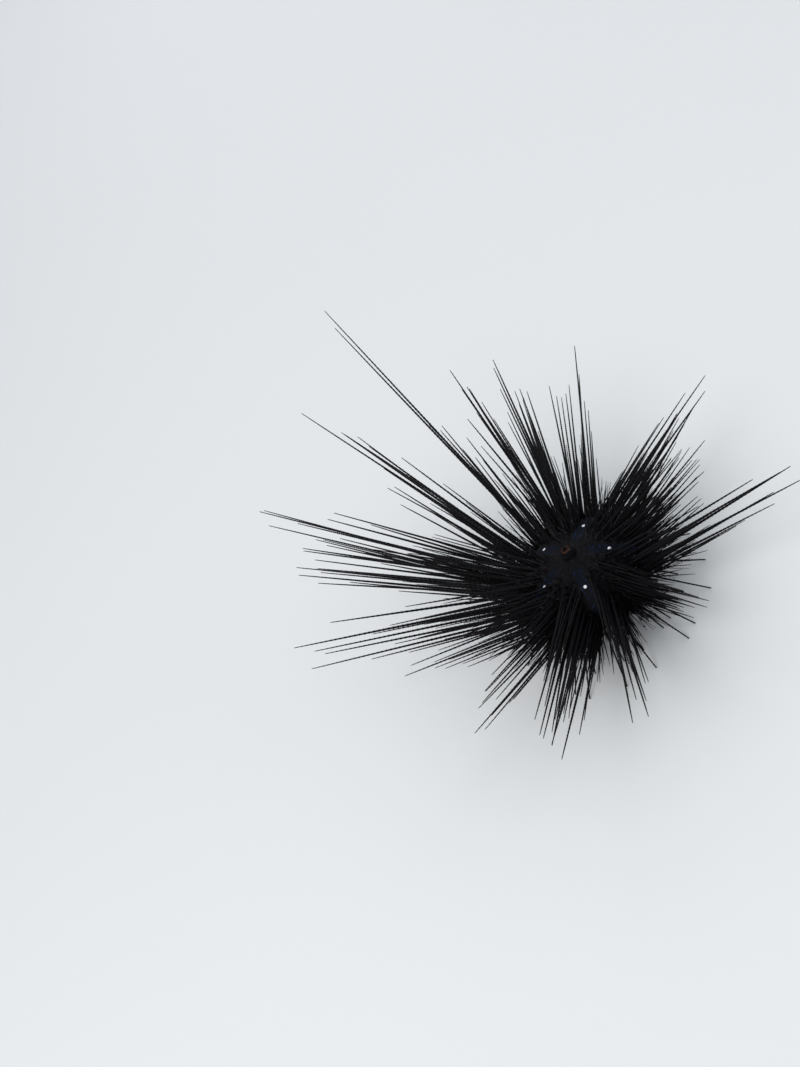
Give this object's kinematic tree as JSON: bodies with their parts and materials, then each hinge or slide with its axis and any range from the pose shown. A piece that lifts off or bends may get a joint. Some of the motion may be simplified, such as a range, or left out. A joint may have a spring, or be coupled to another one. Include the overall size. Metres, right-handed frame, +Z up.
{
  "type": "long-spined sea urchin",
  "caption": "Black long-spined sea urchin, life size: a low round test in sectors with gathered bundles of long thin spines, standing on short lower spines.",
  "frame": {"origin": "on the floor, under the middle of the whole animal's box", "axes": "+Z up along the animal's own axis from mouth to vent; -Y is the side the picture looks from, +X to the right as seen from there"},
  "size_m": [0.2888, 0.367, 0.1328],
  "materials": {
    "spines": "black, faintly glossy, fine rings of barbs",
    "skin": "black wet skin over small knobs",
    "mouth": "dark brown soft mouth skin"
  },
  "bodies": {
    "root": {"interambulacrum_1": "spines", "interambulacrum_2": "spines", "interambulacrum_3": "spines", "interambulacrum_4": "spines", "interambulacrum_5": "spines", "ambulacrum_1": "spines", "ambulacrum_2": "spines", "ambulacrum_3": "spines", "ambulacrum_4": "spines", "ambulacrum_5": "spines", "apical_disc": "skin", "anal_cone": "skin", "peristome": "mouth"}
  },
  "joints": []
}
